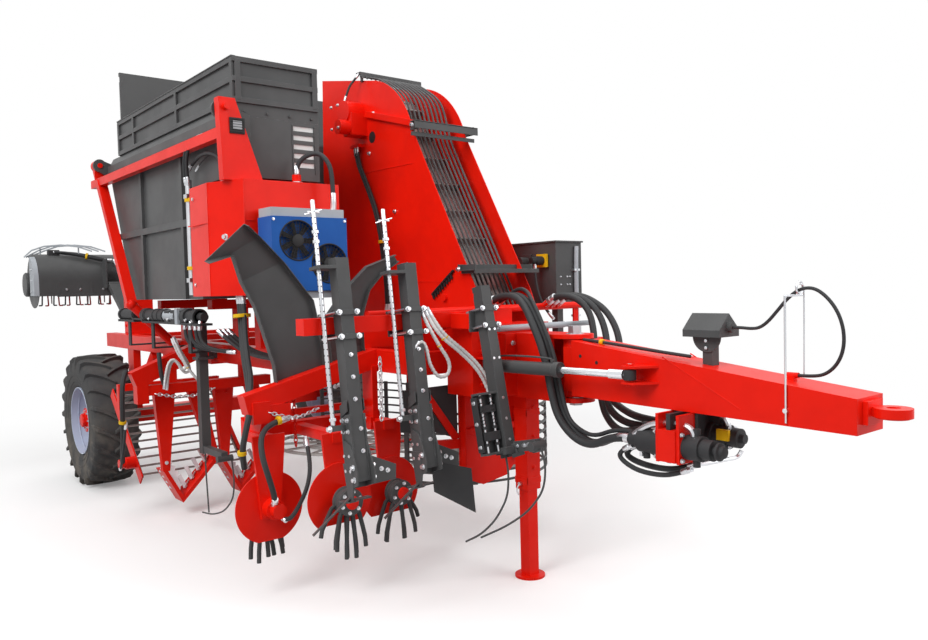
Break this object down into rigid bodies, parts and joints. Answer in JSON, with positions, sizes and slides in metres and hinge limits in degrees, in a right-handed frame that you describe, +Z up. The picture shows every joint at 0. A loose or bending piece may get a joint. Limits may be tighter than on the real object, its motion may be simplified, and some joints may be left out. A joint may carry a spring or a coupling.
{
  "type": "sugar beet harvester",
  "caption": "Towed sugar beet harvester with row cleaner, lifting shares, sieve turbines, elevator, tipping hopper and rear leaf topper, on a single axle with a jack.",
  "frame": {"origin": "middle of the overall box in plan, on the ground that the tyres and the jack foot stand on", "axes": "+X forward along the drawbar towards the hitch eye, +Y to the machine's left, +Z up"},
  "size_m": [8.87, 3.2471, 3.83],
  "materials": {
    "red_paint": "gloss",
    "grey_paint": "satin",
    "rim_paint": "gloss",
    "blue_paint": "satin",
    "tyre_rubber": "matte",
    "flail_rubber": "matte",
    "cable_rubber": "satin",
    "fan_plastic": "matte",
    "chromed_steel": "polished",
    "raw_steel": "satin",
    "zinc_steel": "satin",
    "cast_iron": "satin"
  },
  "bodies": {
    "root": {"axle": "red_paint", "chassis_frame": "red_paint", "cleaner_frame": "red_paint", "cooler_hose": "cable_rubber", "elevator_casing": "red_paint", "elevator_gearbox": "red_paint", "elevator_guard": "grey_paint", "elevator_hoses": "cable_rubber", "elevator_web": "raw_steel", "front_head": "red_paint", "front_hoses": "cable_rubber", "hopper_towers": "red_paint", "jack_housing": "red_paint", "leaf_chutes": "grey_paint", "lifter_feeler": "grey_paint", "lifter_frame": "red_paint", "lifter_sides": "red_paint", "lifter_web": "raw_steel", "oil_cooler": "blue_paint", "oil_tank": "red_paint", "row_feeler": "grey_paint", "row_flap": "flail_rubber", "scalper_left": "grey_paint", "scalper_right": "grey_paint", "side_valves": "cast_iron", "turbine_cages": "grey_paint", "turbine_carriers": "red_paint", "valve_cabinet": "grey_paint"},
    "wheel_right": {"tyre_right": "tyre_rubber", "rim_right": "rim_paint"},
    "wheel_left": {"tyre_left": "tyre_rubber", "rim_left": "rim_paint"},
    "drawbar": {"drawbar": "red_paint", "hitch_eye": "red_paint", "pump_set": "cast_iron", "connector_box": "grey_paint", "cable_holder": "zinc_steel", "drawbar_cable": "cable_rubber"},
    "steering_barrel_right": {"steering_barrel_right": "grey_paint"},
    "steering_barrel_left": {"steering_barrel_left": "grey_paint"},
    "steering_rod_right": {"steering_rod_right": "chromed_steel"},
    "steering_rod_left": {"steering_rod_left": "chromed_steel"},
    "jack_leg": {"jack_leg": "red_paint"},
    "hopper": {"hopper_body": "grey_paint", "hopper_extension": "grey_paint", "riser_pipe": "zinc_steel"},
    "cooler_fan_upper": {"cooler_fan_upper": "fan_plastic"},
    "cooler_fan_lower": {"cooler_fan_lower": "fan_plastic"},
    "flail_rotor_outer": {"flail_rotor_outer": "flail_rubber"},
    "flail_rotor_middle": {"flail_rotor_middle": "flail_rubber"},
    "flail_rotor_inner": {"flail_rotor_inner": "flail_rubber"},
    "turbine_front": {"turbine_front": "raw_steel"},
    "turbine_rear": {"turbine_rear": "raw_steel"},
    "topper_lower_arm": {"topper_lower_arm": "grey_paint"},
    "topper_upper_link": {"topper_upper_link": "zinc_steel"},
    "topper_head": {"topper_housing": "grey_paint"},
    "topper_rotor": {"topper_rotor": "raw_steel"}
  },
  "joints": [
    {"name": "wheel_right_roll", "type": "hinge", "parent": "root", "child": "wheel_right", "pos_m": [-2.575, -1.1886, 0.635], "axis": [0, 1, 0], "continuous": true},
    {"name": "wheel_left_roll", "type": "hinge", "parent": "root", "child": "wheel_left", "pos_m": [-2.575, 1.4114, 0.635], "axis": [0, 1, 0], "continuous": true},
    {"name": "drawbar_swing", "type": "hinge", "parent": "root", "child": "drawbar", "pos_m": [2.575, 0.1114, 1.36], "axis": [0, 0, 1], "range_deg": [-20, 20], "deforming": ["front_hoses"]},
    {"name": "steering_right_swing", "type": "hinge", "parent": "root", "child": "steering_barrel_right", "pos_m": [2.135, -0.1886, 1.365], "axis": [0, 0, 1], "range_deg": [-11.04, 11.04]},
    {"name": "steering_right_stroke", "type": "slide", "parent": "steering_barrel_right", "child": "steering_rod_right", "axis": [0.9956, 0.0936, 0], "range_m": [-0.0912, 0.0912]},
    {"name": "steering_left_swing", "type": "hinge", "parent": "root", "child": "steering_barrel_left", "pos_m": [2.135, 0.4114, 1.365], "axis": [0, 0, 1], "range_deg": [-11.04, 11.04]},
    {"name": "steering_left_stroke", "type": "slide", "parent": "steering_barrel_left", "child": "steering_rod_left", "axis": [0.9956, -0.0936, 0], "range_m": [-0.0912, 0.0912]},
    {"name": "jack_lift", "type": "slide", "parent": "root", "child": "jack_leg", "axis": [0, 0, 1], "range_m": [0, 0.42]},
    {"name": "hopper_tip", "type": "hinge", "parent": "root", "child": "hopper", "pos_m": [-0.575, -1.2606, 3.02], "axis": [1, 0, 0], "range_deg": [0, 85]},
    {"name": "cooler_fan_upper_spin", "type": "hinge", "parent": "root", "child": "cooler_fan_upper", "pos_m": [1.195, -0.9486, 2.16], "axis": [1, 0, 0], "continuous": true},
    {"name": "cooler_fan_lower_spin", "type": "hinge", "parent": "root", "child": "cooler_fan_lower", "pos_m": [1.195, -0.7286, 2.015], "axis": [1, 0, 0], "continuous": true},
    {"name": "flail_rotor_outer_spin", "type": "hinge", "parent": "root", "child": "flail_rotor_outer", "pos_m": [1.305, -1.2886, 0.56], "axis": [1, 0, 0], "continuous": true},
    {"name": "flail_rotor_middle_spin", "type": "hinge", "parent": "root", "child": "flail_rotor_middle", "pos_m": [1.735, -0.9586, 0.6], "axis": [1, 0, 0], "continuous": true},
    {"name": "flail_rotor_inner_spin", "type": "hinge", "parent": "root", "child": "flail_rotor_inner", "pos_m": [1.575, -0.4886, 0.54], "axis": [1, 0, 0], "continuous": true},
    {"name": "turbine_front_spin", "type": "hinge", "parent": "root", "child": "turbine_front", "pos_m": [1.065, 0.4414, 0.56], "axis": [0, 0, 1], "continuous": true},
    {"name": "turbine_rear_spin", "type": "hinge", "parent": "root", "child": "turbine_rear", "pos_m": [-0.095, 0.1314, 0.56], "axis": [0, 0, 1], "continuous": true},
    {"name": "topper_raise", "type": "hinge", "parent": "root", "child": "topper_lower_arm", "pos_m": [-3.045, -0.6486, 1.52], "axis": [0, 1, 0], "range_deg": [-68, 8]},
    {"name": "topper_link_swing", "type": "hinge", "parent": "root", "child": "topper_upper_link", "pos_m": [-3.045, -0.6586, 1.78], "axis": [0, 1, 0], "range_deg": [-68, 8]},
    {"name": "topper_level", "type": "hinge", "parent": "topper_lower_arm", "child": "topper_head", "pos_m": [-3.725, -0.6486, 1.96], "axis": [0, 1, 0], "range_deg": [-8, 68]},
    {"name": "topper_rotor_spin", "type": "hinge", "parent": "topper_head", "child": "topper_rotor", "pos_m": [-4.135, -0.8686, 2.02], "axis": [0, 1, 0], "continuous": true}
  ],
  "couplings": [
    {"joint": "steering_right_swing", "follows": "drawbar_swing", "ratio": 0.54123},
    {"joint": "steering_right_stroke", "follows": "drawbar_swing", "m_per_rad": 0.25615},
    {"joint": "steering_left_swing", "follows": "drawbar_swing", "ratio": 0.54123},
    {"joint": "steering_left_stroke", "follows": "drawbar_swing", "m_per_rad": -0.25615},
    {"joint": "topper_link_swing", "follows": "topper_raise", "ratio": 1},
    {"joint": "topper_level", "follows": "topper_raise", "ratio": -1}
  ]
}
